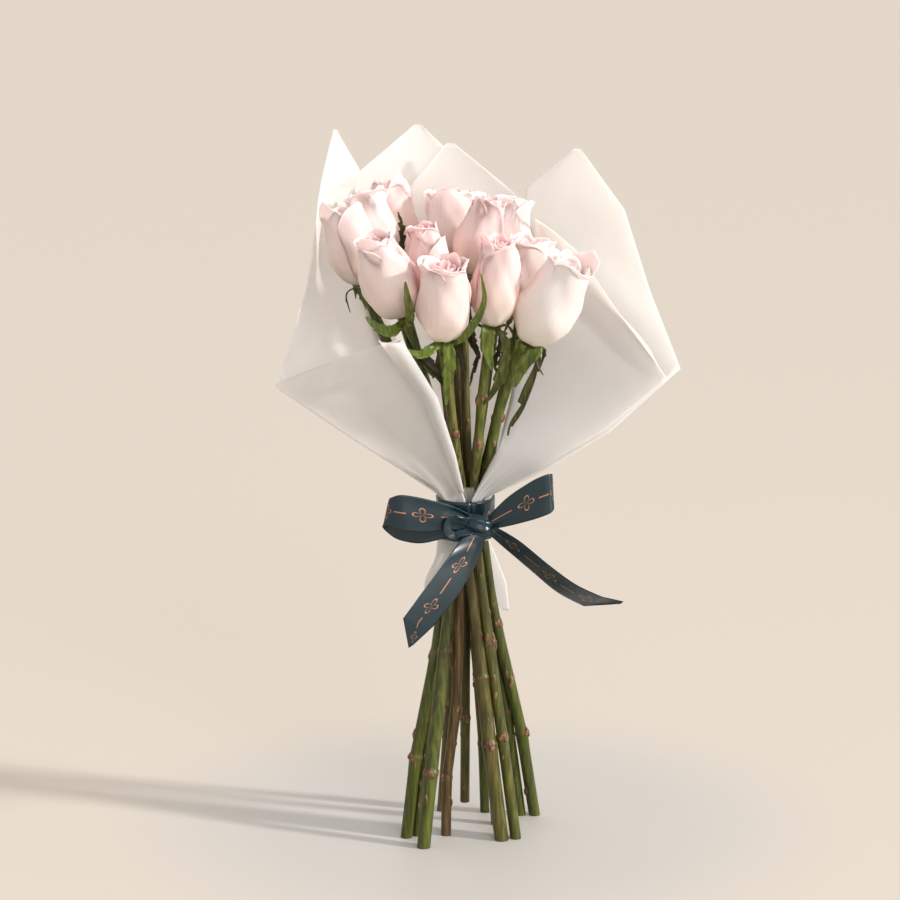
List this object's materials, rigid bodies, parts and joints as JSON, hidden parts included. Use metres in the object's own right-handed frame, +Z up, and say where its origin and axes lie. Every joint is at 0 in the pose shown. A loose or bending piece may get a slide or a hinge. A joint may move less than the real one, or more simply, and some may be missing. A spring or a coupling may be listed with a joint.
{
  "type": "hand-tied bunch of roses",
  "caption": "Hand-tied bunch of half-open pale blush roses with splayed cut stems, wrapped in white paper and tied with a dark satin ribbon bow.",
  "frame": {"origin": "on the surface the cut ends stand on, under the middle of the bunch's outline seen from above", "axes": "+Z up along the bunch, -Y to the front where the bow is, +X to the right seen from the front"},
  "size_m": [0.2494, 0.1566, 0.4411],
  "materials": {
    "petal": "matte, pale blush with cream inner petals",
    "stem": "satin, green to reddish brown plant skin",
    "paper": "matte, white and slightly see-through",
    "tape": "clear gloss film",
    "ribbon": "satin weave, dark blue green"
  },
  "bodies": {
    "root": {"rose_a_bloom": "petal", "rose_a_stem": "stem", "rose_b_bloom": "petal", "rose_b_stem": "stem", "rose_c_bloom": "petal", "rose_c_stem": "stem", "rose_d_bloom": "petal", "rose_d_stem": "stem", "rose_e_bloom": "petal", "rose_e_stem": "stem", "rose_f_bloom": "petal", "rose_f_stem": "stem", "rose_g_bloom": "petal", "rose_g_stem": "stem", "rose_h_bloom": "petal", "rose_h_stem": "stem", "rose_i_bloom": "petal", "rose_i_stem": "stem", "rose_j_bloom": "petal", "rose_j_stem": "stem", "rose_k_bloom": "petal", "rose_k_stem": "stem", "rose_l_bloom": "petal", "rose_l_stem": "stem", "wrap_left": "paper", "wrap_back_left": "paper", "wrap_back": "paper", "wrap_right": "paper", "wrap_right_inner": "paper", "binding_tape": "tape", "satin_ribbon": "ribbon"}
  },
  "joints": []
}
